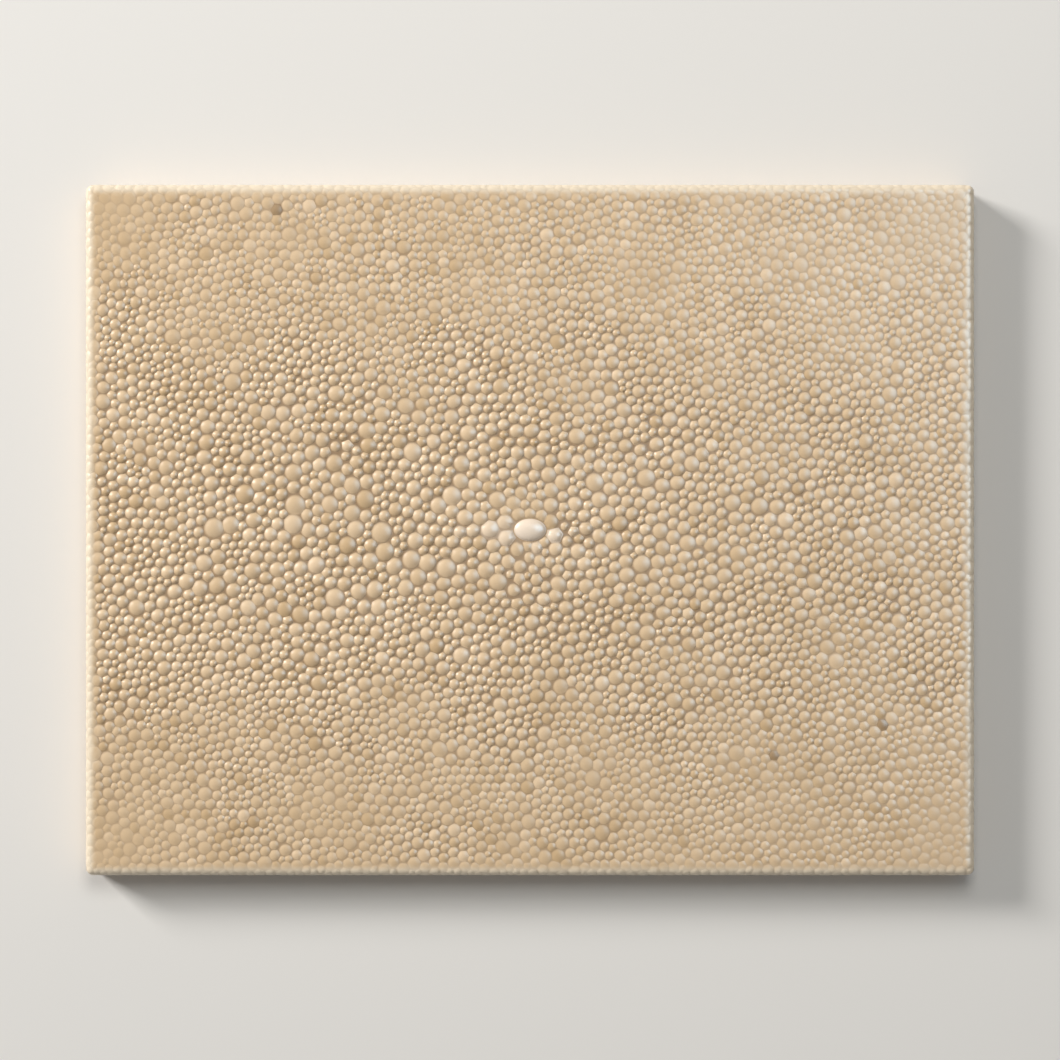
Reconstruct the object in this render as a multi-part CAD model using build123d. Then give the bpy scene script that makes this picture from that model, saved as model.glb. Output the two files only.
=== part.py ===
from build123d import *

import os

# A wall panel of shagreen: one ray hide glued over a fibreboard slab.
# The hide covers the face, wraps the four edges and is turned in on the back.
# Millimetres. The face looks up (+Z), the long side runs along X, the back rests on z = 0.

# Driving dimensions of the finished panel
PANEL_LENGTH = 229.0
PANEL_WIDTH = 178.0

# Driving dimensions of the board
BOARD_THICKNESS = 9.0
BOARD_EDGE_ROUND = 0.6

# Driving dimensions of the hide
HIDE_THICKNESS = 1.2
TURN_IN_THICKNESS = 0.7
TURN_IN_WIDTH = 18.0
MITRE_GAP = 0.5

# Driving dimensions of the pearls, the large beads over the spine
PEARL_LENGTH = 8.2
PEARL_WIDTH = 5.8
PEARL_RISE = 0.6
SIDE_PEARL_DIAMETER = 4.0
SIDE_PEARL_COUNT = 3
SIDE_PEARL_TAPER = 0.85
PEARL_SPACING = 0.6

# Sizes that follow from the driving dimensions
BOARD_LENGTH = PANEL_LENGTH - 2 * HIDE_THICKNESS
BOARD_WIDTH = PANEL_WIDTH - 2 * HIDE_THICKNESS
FACE_Z = TURN_IN_THICKNESS + BOARD_THICKNESS + HIDE_THICKNESS
HIDE_EDGE_ROUND = BOARD_EDGE_ROUND + HIDE_THICKNESS
FOLD_ROUND = TURN_IN_THICKNESS


def rounded_slab(length, width, height, edge_round):
    """A slab on z = 0 whose four upright edges and front arris share one radius."""
    slab = Box(length, width, height, align=(Align.CENTER, Align.CENTER, Align.MIN))
    upright = slab.edges().filter_by(Axis.Z)
    arris = slab.faces().sort_by(Axis.Z)[-1].edges()
    return fillet(upright + arris, edge_round)


def make_board():
    """The fibreboard slab, resting on the turned-in margins of the hide."""
    slab = rounded_slab(BOARD_LENGTH, BOARD_WIDTH, BOARD_THICKNESS, BOARD_EDGE_ROUND)
    return Pos(0, 0, TURN_IN_THICKNESS) * slab


def make_back_window():
    """The opening that the turned-in margins leave on the back of the board."""
    window_length = BOARD_LENGTH - 2 * TURN_IN_WIDTH
    window_width = BOARD_WIDTH - 2 * TURN_IN_WIDTH
    on_back = (Align.CENTER, Align.CENTER, Align.MIN)
    return Box(window_length, window_width, TURN_IN_THICKNESS, align=on_back)


def make_mitre_gaps():
    """Four narrow gaps at 45 degrees, each from a corner of the board to just inside the window."""
    gap_length = TURN_IN_WIDTH * 2 ** 0.5 + MITRE_GAP
    from_corner = (Align.MIN, Align.CENTER, Align.MIN)
    gap = Rot(0, 0, 45) * Box(gap_length, MITRE_GAP, TURN_IN_THICKNESS, align=from_corner)
    first = Pos(-BOARD_LENGTH / 2, -BOARD_WIDTH / 2, 0) * gap
    front_pair = [first, mirror(first, about=Plane.YZ)]
    return front_pair + [mirror(gap, about=Plane.XZ) for gap in front_pair]


def make_middle_pearl():
    """The oval pearl at the centre of the face: the crown of a half barrel that lies along X."""
    barrel_radius = (PEARL_WIDTH ** 2 / 4 + PEARL_RISE ** 2) / (2 * PEARL_RISE)
    end_radius = barrel_radius - PEARL_RISE
    end_x = PEARL_LENGTH / 2
    stave = ThreePointArc((-end_x, end_radius), (0, barrel_radius), (end_x, end_radius))
    ends = Polyline((end_x, end_radius), (end_x, 0), (-end_x, 0), (-end_x, end_radius))
    half_barrel = revolve(make_face(stave + ends), axis=Axis.X, revolution_arc=180)
    on_face = (Align.CENTER, Align.CENTER, Align.MIN)
    above_face = Box(2 * PEARL_LENGTH, 2 * PEARL_WIDTH, 2 * PEARL_RISE, align=on_face)
    crown = (Pos(0, 0, -end_radius) * half_barrel) & above_face
    return Pos(0, 0, FACE_Z) * crown


def make_side_pearl(centre_x, diameter):
    """A round pearl on the spine: a cap turned about Z, as steep as the middle pearl."""
    radius = diameter / 2
    rise = PEARL_RISE * diameter / PEARL_LENGTH
    ball_radius = (radius ** 2 + rise ** 2) / (2 * rise)
    bow = RadiusArc((radius, 0), (0, rise), -ball_radius)
    foot = Polyline((0, rise), (0, 0), (radius, 0))
    cap = revolve(Plane.XZ * make_face(bow + foot), axis=Axis.Z)
    return Pos(centre_x, 0, FACE_Z) * cap


def make_pearl_row():
    """The middle pearl and, on either side, round ones that shrink outwards."""
    pearls = [make_middle_pearl()]
    edge_x = PEARL_LENGTH / 2
    diameter = SIDE_PEARL_DIAMETER
    for _ in range(SIDE_PEARL_COUNT):
        centre_x = edge_x + PEARL_SPACING + diameter / 2
        for side in (-1, 1):
            pearls.append(make_side_pearl(side * centre_x, diameter))
        edge_x = centre_x + diameter / 2
        diameter *= SIDE_PEARL_TAPER
    return pearls


def make_hide(board):
    """The hide: face, wrapped edges and turned-in margins, in one piece with its pearls."""
    envelope = rounded_slab(PANEL_LENGTH, PANEL_WIDTH, FACE_Z, HIDE_EDGE_ROUND)
    fold_edges = envelope.faces().sort_by(Axis.Z)[0].edges()
    envelope = fillet(fold_edges, FOLD_ROUND)
    hide = envelope
    for pearl in make_pearl_row():
        hide = hide + pearl
    for cutter in [board, make_back_window(), *make_mitre_gaps()]:
        hide = hide - cutter
    return hide


def main():
    """Build both pieces and write one file for each."""
    os.makedirs("parts", exist_ok=True)
    board = make_board()
    export_step(board, "parts/backing_board.step")
    export_step(make_hide(board), "parts/shagreen_hide.step")


main()
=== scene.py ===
import logging
import math
from dataclasses import dataclass, field
from enum import Enum

import bpy
import numpy as np
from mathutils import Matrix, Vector
from mathutils.geometry import delaunay_2d_cdt
from mathutils.kdtree import KDTree


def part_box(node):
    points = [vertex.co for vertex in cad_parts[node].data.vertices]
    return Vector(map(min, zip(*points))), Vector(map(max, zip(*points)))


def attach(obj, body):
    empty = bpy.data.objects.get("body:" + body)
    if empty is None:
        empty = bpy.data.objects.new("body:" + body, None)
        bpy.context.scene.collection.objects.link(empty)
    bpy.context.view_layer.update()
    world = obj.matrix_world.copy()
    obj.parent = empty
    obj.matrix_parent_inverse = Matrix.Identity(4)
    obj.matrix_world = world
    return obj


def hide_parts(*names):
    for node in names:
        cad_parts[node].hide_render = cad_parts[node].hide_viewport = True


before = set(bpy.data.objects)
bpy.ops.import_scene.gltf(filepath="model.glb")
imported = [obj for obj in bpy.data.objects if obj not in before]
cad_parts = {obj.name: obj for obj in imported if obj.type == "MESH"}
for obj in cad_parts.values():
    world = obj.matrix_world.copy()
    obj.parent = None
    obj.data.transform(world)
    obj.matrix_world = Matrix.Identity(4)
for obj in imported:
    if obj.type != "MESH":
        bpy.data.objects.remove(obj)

# The look of a shagreen wall panel: a beaded ray hide wrapped over a fibreboard slab.
# The hide is laid out flat in millimetres, bead by bead, and folded over the board's edges.

LOG = logging.getLogger("shagreen_panel")
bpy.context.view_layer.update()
MM = 0.001
BODY = "root"
HIDE_NODE = "shagreen_hide"
BOARD_NODE = "backing_board"
TINY = 1e-9
SNAP = 1e-4

Colour = tuple[float, float, float]
Socket = bpy.types.NodeSocket


class Stretch(Enum):
    """The stretches of the hide, from the middle of the face to the end of its margin."""

    FACE = 0
    ROLL = 1
    WALL = 2
    MARGIN = 3


class Lamp(Enum):
    """The lamps of the studio."""

    KEY = "key_lamp"
    FILL = "fill_lamp"
    WINDOW = "window_lamp"


def smooth_step(low: float, high: float, value: np.ndarray) -> np.ndarray:
    """Ease from 0 at low to 1 at high.

    Args:
        low: Value at which the ramp starts.
        high: Value at which the ramp ends.
        value: Values to ease.

    Returns:
        The eased values, from 0 to 1.
    """
    share = np.clip((value - low) / (high - low), 0.0, 1.0)
    return share * share * (3.0 - 2.0 * share)


def linear(red: int, green: int, blue: int) -> tuple[float, float, float, float]:
    """Turn a screen colour into the linear colour that a shader socket takes.

    Args:
        red: Red, from 0 to 255.
        green: Green, from 0 to 255.
        blue: Blue, from 0 to 255.

    Returns:
        The linear colour with an alpha of 1.
    """
    shares = [channel / 255.0 for channel in (red, green, blue)]
    lit = [s / 12.92 if s <= 0.04045 else ((s + 0.055) / 1.055) ** 2.4 for s in shares]
    return (lit[0], lit[1], lit[2], 1.0)


@dataclass(frozen=True)
class HideSection:
    """The hide's section, from the flat of the face over the edge to the end of the margin.

    A run is the length of hide past the flat of the face. All sizes are in millimetres.
    """

    half_length: float
    half_width: float
    face_z: float
    skin: float
    margin_skin: float
    board_edge_round: float = 0.6
    turn_in: float = 18.0
    mitre_gap: float = 0.5
    glue: float = 0.02

    @classmethod
    def from_frame(cls) -> "HideSection":
        """Read the panel's sizes off the boxes of its two nodes.

        Returns:
            The section.
        """
        hide_low, hide_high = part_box(HIDE_NODE)
        board_low, board_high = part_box(BOARD_NODE)
        skin = hide_high.x - board_high.x
        return cls(
            half_length=hide_high.x / MM,
            half_width=hide_high.y / MM,
            face_z=(board_high.z + skin) / MM,
            skin=skin / MM,
            margin_skin=(board_low.z - hide_low.z) / MM,
        )

    @property
    def roll(self) -> float:
        """Outer radius of the rolled front edge and of the upright corners."""
        return self.board_edge_round + self.skin

    @property
    def core(self) -> np.ndarray:
        """Half sizes of the flat of the face, inside the rolled edges."""
        return np.array([self.half_length - self.roll, self.half_width - self.roll])

    @property
    def roll_end(self) -> float:
        """Run at which the rolled edge passes into the wall."""
        return self.roll * math.pi / 2

    @property
    def wall_end(self) -> float:
        """Run at which the wall passes into the fold at the back."""
        return self.roll_end + self.face_z - self.roll - self.margin_skin

    @property
    def fold_end(self) -> float:
        """Run at which the fold passes into the turned-in margin."""
        return self.wall_end + self.margin_skin * math.pi / 2

    @property
    def board_edge_end(self) -> float:
        """Run at which the glued side leaves the board's edge for its back."""
        return self.fold_end + self.skin - self.margin_skin

    @property
    def corner_end(self) -> float:
        """Run at which the hide stops in a corner, where the mitre opens."""
        half_gap = self.mitre_gap / math.sqrt(2.0)
        return self.fold_end + self.roll - self.margin_skin - half_gap

    @property
    def margin_end(self) -> float:
        """Run at which the turned-in margin stops."""
        return self.fold_end + self.turn_in + self.skin - self.margin_skin

    def past_core(self, flat: np.ndarray) -> tuple[np.ndarray, np.ndarray]:
        """Split flat points into the run past the face and its direction.

        Args:
            flat: Points of the hide laid flat, one per row.

        Returns:
            The runs, and the unit directions in which they leave the face.
        """
        past = np.maximum(np.abs(flat) - self.core, 0.0)
        run = np.hypot(past[:, 0], past[:, 1])
        direction = np.sign(flat) * past / np.maximum(run, TINY)[:, None]
        return run, direction

    def stretch_of(self, run: np.ndarray) -> np.ndarray:
        """Name the stretch for each run, as the value of a Stretch.

        Args:
            run: Runs past the face.

        Returns:
            The stretches, one per run.
        """
        stretch = np.full(len(run), Stretch.FACE.value)
        stretch[run > 0.0] = Stretch.ROLL.value
        stretch[run > self.roll_end] = Stretch.WALL.value
        stretch[run > self.fold_end] = Stretch.MARGIN.value
        return stretch

    def wrap_outer(self, flat: np.ndarray, lift: np.ndarray) -> np.ndarray:
        """Fold flat points over the panel, on the side that shows.

        Args:
            flat: Points of the hide laid flat, one per row.
            lift: Height of each point over the hide's outer surface.

        Returns:
            The points in space, one per row.
        """
        run, direction = self.past_core(flat)
        top_turn = np.clip(run / self.roll, 0.0, math.pi / 2)
        back_turn = np.clip((run - self.wall_end) / self.margin_skin, 0.0, math.pi / 2)
        drop = np.clip(run, self.roll_end, self.wall_end) - self.roll_end
        inward = np.maximum(run - self.fold_end, 0.0)
        out = self.roll * np.sin(top_turn) - self.margin_skin * (1.0 - np.cos(back_turn)) - inward
        height = self.face_z - self.roll * (1.0 - np.cos(top_turn)) - drop
        height = height - self.margin_skin * np.sin(back_turn)
        tilt = top_turn + back_turn
        return self._assemble(flat, direction, out + lift * np.sin(tilt), height + lift * np.cos(tilt))

    def wrap_inner(self, flat: np.ndarray) -> np.ndarray:
        """Fold flat points over the panel, on the glued side.

        Args:
            flat: Points of the hide laid flat, one per row.

        Returns:
            The points in space, one per row, a glue line away from the board.
        """
        run, direction = self.past_core(flat)
        turn = np.clip(run / self.roll, 0.0, math.pi / 2)
        wall_share = np.clip((run - self.roll_end) / (self.board_edge_end - self.roll_end), 0.0, 1.0)
        inward = np.maximum(run - self.board_edge_end, 0.0)
        out = (self.board_edge_round + self.glue) * np.sin(turn) - inward
        height = self.face_z - self.skin + self.glue
        height = height - (self.board_edge_round + self.glue) * (1.0 - np.cos(turn))
        wall_bottom = self.margin_skin - self.glue
        wall_top = self.face_z - self.roll
        height = height - wall_share * (wall_top - wall_bottom)
        return self._assemble(flat, direction, out, height)

    def _assemble(
        self, flat: np.ndarray, direction: np.ndarray, out: np.ndarray, height: np.ndarray
    ) -> np.ndarray:
        """Join plan and height into points in space."""
        plan = np.clip(flat, -self.core, self.core) + direction * out[:, None]
        return np.column_stack([plan, height])

    def holds(self, flat: np.ndarray) -> np.ndarray:
        """Tell which flat points lie on the hide as it is cut, with its mitred margins.

        Args:
            flat: Points of the hide laid flat, one per row.

        Returns:
            True for each point on the hide.
        """
        past = np.maximum(np.abs(flat) - self.core, 0.0)
        run = np.hypot(past[:, 0], past[:, 1])
        in_corner = (past > 0.0).all(axis=1)
        along = np.where(past[:, 0] > 0.0, np.abs(flat[:, 1]), np.abs(flat[:, 0]))
        room = np.where(past[:, 0] > 0.0, self.core[1], self.core[0])
        margin_room = room - np.maximum(run - self.corner_end, 0.0)
        on_side = (run < self.margin_end) & (along < margin_room)
        return np.where(in_corner, run < self.corner_end, on_side | (run <= 0.0))

    def outline(self, pitch: float, corner_steps: int = 4) -> np.ndarray:
        """Trace the edge of the hide as it is cut, anticlockwise.

        Args:
            pitch: Largest distance between points on the straight edges.
            corner_steps: Steps round each mitred corner.

        Returns:
            The points of the closed outline, one per row.
        """
        depth = self.margin_end - self.corner_end
        loop: list[np.ndarray] = []
        for side in range(4):
            angle = side * math.pi / 2
            outward = np.round([math.cos(angle), math.sin(angle)])
            along = np.array([-outward[1], outward[0]])
            reach = abs(outward @ self.core)
            half = abs(along @ self.core)
            stations = [
                -half * along + (reach + self.corner_end) * outward,
                -(half - depth) * along + (reach + self.margin_end) * outward,
                (half - depth) * along + (reach + self.margin_end) * outward,
                half * along + (reach + self.corner_end) * outward,
            ]
            for start, end in zip(stations[:-1], stations[1:]):
                steps = max(1, math.ceil(np.linalg.norm(end - start) / pitch))
                shares = np.arange(steps)[:, None] / steps
                loop.append(start + shares * (end - start))
            corner = half * along + reach * outward
            turns = angle + np.arange(corner_steps)[:, None] / corner_steps * math.pi / 2
            loop.append(corner + self.corner_end * np.hstack([np.cos(turns), np.sin(turns)]))
        return np.vstack(loop)

    def fill(self, points: np.ndarray, loops: list[range]) -> np.ndarray:
        """Cover the hide, laid flat, with triangles that keep to some closed loops.

        Args:
            points: All flat points, those of the outline first.
            loops: The outline and any loops inside it, as ranges of point indices.

        Returns:
            The triangles, anticlockwise, as point indices.
        """
        edges = [(loop[k], loop[(k + 1) % len(loop)]) for loop in loops for k in range(len(loop))]
        filled = delaunay_2d_cdt([Vector(point) for point in points.tolist()], edges, [], 1, SNAP, True)
        origin = [sources[0] for sources in filled[3]]
        triangles = np.array([[origin[corner] for corner in face] for face in filled[2]])
        triangles = triangles[self.holds(points[triangles].mean(axis=1))]
        a, b, c = (points[triangles[:, k]] for k in range(3))
        area = (b - a)[:, 0] * (c - a)[:, 1] - (b - a)[:, 1] * (c - a)[:, 0]
        triangles[area < 0] = triangles[area < 0][:, ::-1]
        return triangles


@dataclass(frozen=True)
class BeadProfile:
    """The section of a bead's dome: height 1 - share ** crown_power, raised to shoulder_power."""

    crown_power: float = 2.2
    shoulder_power: float = 0.75


@dataclass(frozen=True)
class MiddlePearl:
    """The oval pearl at the middle of the face, in millimetres."""

    length: float = 8.2
    width: float = 5.8
    rise: float = 0.58
    ivory: float = 1.0
    rim_pitch: float = 0.75

    @property
    def half_axes(self) -> np.ndarray:
        """Half length and half width."""
        return np.array([self.length / 2, self.width / 2])

    def rim(self) -> np.ndarray:
        """Trace the pearl's foot, anticlockwise.

        Returns:
            Flat points on the foot, one per row.
        """
        steps = math.ceil(math.pi * self.half_axes.sum() / self.rim_pitch)
        turns = np.arange(steps) / steps * 2.0 * math.pi
        return np.column_stack([np.cos(turns), np.sin(turns)]) * self.half_axes

    def covers(self, flat: np.ndarray) -> np.ndarray:
        """Tell which flat points lie under the pearl."""
        return np.hypot(*(flat / self.half_axes).T) < 1.0


@dataclass(frozen=True)
class SidePearl:
    """A pale bead beside the middle pearl, in millimetres, and how white it is from 0 to 1."""

    x: float
    y: float
    size: float
    rise: float
    ivory: float


@dataclass(frozen=True)
class Grain:
    """How the beads vary over the hide. Sizes are in millimetres, bands in shares of the half face."""

    spine_pitch: float = 3.3
    side_pitch: float = 2.7
    end_pitch: float = 2.6
    back_pitch: float = 2.9
    spine_band: tuple[float, float] = (0.0, 0.6)
    end_band: tuple[float, float] = (0.4, 1.3)
    size_spread: float = 0.15
    size_limits: tuple[float, float] = (0.65, 1.45)
    spine_relief: float = 0.55
    side_relief: float = 0.3
    rim_relief: float = 0.06
    flank_band: tuple[float, float] = (0.2, 0.85)
    rim_fade: float = 2.4
    corner_fade: float = 26.0
    corner_share: float = 0.85
    wall_relief: float = 0.2
    end_calm: float = 0.3
    calm_band: tuple[float, float] = (-0.2, 1.0)
    pearl_calm: float = 0.3
    pearl_ring: tuple[float, float] = (4.0, 18.0)
    patchiness: float = 0.15
    patch_size: float = 34.0
    patch_turns: tuple[float, ...] = (0.5, 1.7, 2.6, 3.9)
    patch_stretches: tuple[float, ...] = (1.0, 0.73, 1.31, 0.9)
    patch_phases: tuple[float, ...] = (0.4, 2.1, 4.0, 5.2)
    coarse_x: float = -48.0
    coarse_reach: tuple[float, float] = (58.0, 36.0)
    coarse_pitch: float = 0.25
    coarse_spread: float = 0.07
    coarse_gain: float = 0.1
    outline_pitch: float = 2.2

    def pitch(self, flat: np.ndarray, section: HideSection) -> np.ndarray:
        """Give the distance between beads at flat points.

        Args:
            flat: Points of the hide laid flat, one per row.
            section: The hide's section.

        Returns:
            The pitch at each point.
        """
        off_spine = np.abs(flat[:, 1]) / section.core[1]
        off_middle = np.abs(flat[:, 0]) / section.core[0]
        to_side = smooth_step(*self.spine_band, off_spine)
        pitch = self.spine_pitch + (self.side_pitch - self.spine_pitch) * to_side
        pitch = pitch + self.coarse_pitch * self._coarseness(flat)
        far = smooth_step(*self.end_band, np.hypot(off_spine, off_middle))
        pitch = pitch + (self.end_pitch - pitch) * far
        run, _ = section.past_core(flat)
        to_back = smooth_step(section.roll_end, section.wall_end, run)
        return pitch + (self.back_pitch - pitch) * to_back

    def relief(self, flat: np.ndarray, section: HideSection) -> np.ndarray:
        """Give the height of the beads over their grooves at flat points.

        Args:
            flat: Points of the hide laid flat, one per row.
            section: The hide's section.

        Returns:
            The relief at each point.
        """
        off_spine = np.abs(flat[:, 1]) / section.core[1]
        fall = smooth_step(*self.flank_band, off_spine)
        relief = self.spine_relief + (self.side_relief - self.spine_relief) * fall
        calm = self.end_calm * smooth_step(*self.calm_band, flat[:, 0] / section.core[0])
        near_pearl = 1.0 - smooth_step(*self.pearl_ring, np.hypot(*flat.T))
        calm = np.maximum(calm, self.pearl_calm * near_pearl)
        relief = relief * (1.0 - calm) * (1.0 + self.patchiness * self._patches(flat))
        relief = relief * (1.0 + self.coarse_gain * self._coarseness(flat))
        inside = (section.core - np.abs(flat)).clip(0.0)
        at_rim = 1.0 - smooth_step(0.0, self.rim_fade, inside.min(axis=1))
        at_corner = 1.0 - smooth_step(0.0, self.corner_fade, np.hypot(*inside.T))
        relief = relief + (self.rim_relief - relief) * np.maximum(at_rim, self.corner_share * at_corner)
        run, _ = section.past_core(flat)
        to_wall = smooth_step(section.roll_end, 2.0 * section.roll_end, run)
        return relief + (self.wall_relief - relief) * to_wall

    def spread(self, flat: np.ndarray) -> np.ndarray:
        """Give how far beads at flat points differ in size, as a share of it."""
        return self.size_spread + self.coarse_spread * self._coarseness(flat)

    def _coarseness(self, flat: np.ndarray) -> np.ndarray:
        """A swelling along the spine, 1 at its middle, where the beads are larger and less even."""
        away = (flat - np.array([self.coarse_x, 0.0])) / np.array(self.coarse_reach)
        return np.exp(-(away**2).sum(axis=1))

    def _patches(self, flat: np.ndarray) -> np.ndarray:
        """Slow waves from about -1 to 1 that make the beads stand out more in some places.

        Args:
            flat: Points of the hide laid flat, one per row.

        Returns:
            The height of the waves at each point.
        """
        total = np.zeros(len(flat))
        for turn, stretch, phase in zip(self.patch_turns, self.patch_stretches, self.patch_phases):
            heading = np.array([math.cos(turn), math.sin(turn)])
            total += np.sin(flat @ heading * 2.0 * math.pi / (self.patch_size * stretch) + phase)
        return 0.5 * total


@dataclass
class BeadLayout:
    """Where every bead of the hide lies, with the hide laid flat. Millimetres."""

    section: HideSection
    grain: Grain
    pearl: MiddlePearl
    side_pearls: tuple[SidePearl, ...]
    seed: int = 11
    tries: int = 260_000
    closeness: float = 0.79
    helpings: int = 3
    settle_rounds: int = 3
    settle_steps: int = 8
    even_rounds: int = 6
    push: float = 0.3
    groove_pull: float = 0.85
    squeeze: float = 1.18
    roundness: float = 0.45
    neighbourhood: float = 1.4
    corner_clearance: float = 0.4
    least_size: float = 0.4
    spots: np.ndarray = field(init=False)
    sizes: np.ndarray = field(init=False)
    loops: list[range] = field(init=False)
    triangles: np.ndarray = field(init=False)
    grooves: np.ndarray = field(init=False)

    @property
    def outline_count(self) -> int:
        """Number of spots on the cut edge, which come first."""
        return len(self.loops[0])

    @property
    def rim_count(self) -> int:
        """Number of spots on the cut edge and round the middle pearl, which come before the beads."""
        return self.loops[-1].stop

    @property
    def side_range(self) -> range:
        """Indices of the side pearls, which come first among the beads."""
        return range(self.rim_count, self.rim_count + len(self.side_pearls))

    @property
    def first_free(self) -> int:
        """Index of the first bead that may move."""
        return self.side_range.stop + len(self.corner_beads())

    @property
    def search_reach(self) -> float:
        """How far off a bead's neighbours are looked for."""
        return self.neighbourhood * self.grain.spine_pitch

    def corner_beads(self) -> np.ndarray:
        """One column of beads down each upright corner, where just one fits side by side.

        Returns:
            Flat places of the beads, one per row.
        """
        pitch = self.grain.end_pitch
        runs = np.arange(0.5 * pitch, self.section.fold_end, pitch)
        corners = [(sx, sy) for sx in (-1, 1) for sy in (-1, 1)]
        slant = 1.0 / math.sqrt(2.0)
        columns = [self.section.core * sign + runs[:, None] * slant * np.array(sign) for sign in corners]
        return np.vstack(columns)

    def build(self) -> None:
        """Scatter the beads, let them settle and join neighbours into triangles."""
        rng = np.random.default_rng(self.seed)
        edge, foot = self.section.outline(self.grain.outline_pitch), self.pearl.rim()
        self.loops = [range(len(edge)), range(len(edge), len(edge) + len(foot))]
        side_spots = np.array([(side.x, side.y) for side in self.side_pearls])
        self.spots = np.vstack([edge, foot, side_spots, self.corner_beads()])
        self.sizes = self.grain.pitch(self.spots, self.section)
        self.sizes[: self.rim_count] = 0.0
        self.sizes[self.side_range.start : self.side_range.stop] = [side.size for side in self.side_pearls]
        for _ in range(self.helpings):
            self._scatter(rng)
            for _ in range(self.settle_rounds):
                self._settle()
        for _ in range(self.even_rounds):
            self._join()
            self._even_out()
        self._join()

    def reaches(self) -> np.ndarray:
        """Give each bead's radius: how far it gets before it meets its neighbours.

        Returns:
            One radius per spot.
        """
        here = self.triangles.ravel()
        there = np.roll(self.triangles, -1, axis=1).ravel()
        ends = np.concatenate([here, there])
        others = np.concatenate([there, here])
        apart = np.hypot(*(self.spots[ends] - self.spots[others]).T)
        size, other_size = self.sizes[ends], self.sizes[others]
        share = np.where(other_size > 0.0, size / np.maximum(size + other_size, TINY), self.groove_pull)
        nearest = np.full(len(self.spots), np.inf)
        np.minimum.at(nearest, ends, share * apart)
        total = np.bincount(ends, weights=share * apart, minlength=len(self.spots))
        count = np.bincount(ends, minlength=len(self.spots))
        mean = total / np.maximum(count, 1)
        return np.minimum(mean, self.squeeze * nearest)

    def arms(self) -> np.ndarray:
        """Give each bead's radius towards each groove round it, one row per triangle.

        Returns:
            Three radii per triangle, one for each of its corners.
        """
        spans = np.hypot(*np.moveaxis(self.grooves[:, None] - self.spots[self.triangles], 2, 0))
        owner = self.triangles.ravel()
        total = np.bincount(owner, weights=spans.ravel(), minlength=len(self.spots))
        count = np.bincount(owner, minlength=len(self.spots))
        mean = (total / np.maximum(count, 1))[self.triangles]
        stretch = (spans / np.maximum(mean, TINY)) ** (1.0 - self.roundness)
        return self.reaches()[self.triangles] * stretch

    def _allowed(self, flat: np.ndarray) -> np.ndarray:
        """Tell which flat points may hold a bead: on the hide, off the middle pearl and the corners.

        Args:
            flat: Points of the hide laid flat, one per row.

        Returns:
            True for each point that may hold one.
        """
        allowed = self.section.holds(flat) & ~self.pearl.covers(flat)
        run, direction = self.section.past_core(flat)
        across_x = np.abs(direction[:, 0]) > 0.5
        straight = np.abs(direction).max(axis=1) > 1.0 - TINY
        along = np.where(across_x, np.abs(flat[:, 1]), np.abs(flat[:, 0]))
        room = np.where(across_x, self.section.core[1], self.section.core[0])
        clear = along < room - self.corner_clearance * self.grain.back_pitch
        on_edge = run > 0.5 * self.section.roll_end
        return allowed & np.where(on_edge, straight & clear, straight | (run <= 0.0))

    def _scatter(self, rng: np.random.Generator) -> None:
        """Throw beads at random and keep those that land clear of the ones before.

        Args:
            rng: Source of the throws and sizes.
        """
        reach = self.section.core + self.section.margin_end
        thrown = rng.uniform(-reach, reach, size=(self.tries, 2))
        thrown = thrown[self._allowed(thrown)]
        spread = np.clip(rng.normal(1.0, self.grain.spread(thrown)), *self.grain.size_limits)
        wanted = self.grain.pitch(thrown, self.section) * spread
        cell = self.search_reach
        bins: dict[tuple[int, int], list[tuple[float, float, float]]] = {}
        for (x, y), size in zip(self.spots.tolist(), self.sizes.tolist()):
            bins.setdefault((math.floor(x / cell), math.floor(y / cell)), []).append((x, y, size))
        kept: list[tuple[float, float]] = []
        kept_sizes: list[float] = []
        for (x, y), size in zip(thrown.tolist(), wanted.tolist()):
            column, row = math.floor(x / cell), math.floor(y / cell)
            if self._lands_clear(bins, column, row, x, y, size):
                bins.setdefault((column, row), []).append((x, y, size))
                kept.append((x, y))
                kept_sizes.append(size)
        self.spots = np.vstack([self.spots, np.array(kept)])
        self.sizes = np.concatenate([self.sizes, np.array(kept_sizes)])

    def _lands_clear(
        self,
        bins: dict[tuple[int, int], list[tuple[float, float, float]]],
        column: int,
        row: int,
        x: float,
        y: float,
        size: float,
    ) -> bool:
        """Tell whether a thrown bead keeps its distance from the beads in the bins round it.

        Args:
            bins: Beads that lie already, as place and size, by column and row.
            column: Column of the bin in which the bead lands.
            row: Row of that bin.
            x: Where the bead lands along the panel.
            y: Where it lands across the panel.
            size: Its size.

        Returns:
            True if it lies clear.
        """
        for i in (column - 1, column, column + 1):
            for j in (row - 1, row, row + 1):
                for other_x, other_y, other_size in bins.get((i, j), ()):
                    gap = 0.5 * self.closeness * (size + other_size)
                    if (x - other_x) ** 2 + (y - other_y) ** 2 < gap * gap:
                        return False
        return True

    def _move(self, target: np.ndarray) -> None:
        """Move the free beads to new places, where those are allowed.

        Args:
            target: The new places, one per spot.
        """
        allowed = self._allowed(target)
        allowed[: self.first_free] = False
        self.spots[allowed] = target[allowed]

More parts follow.
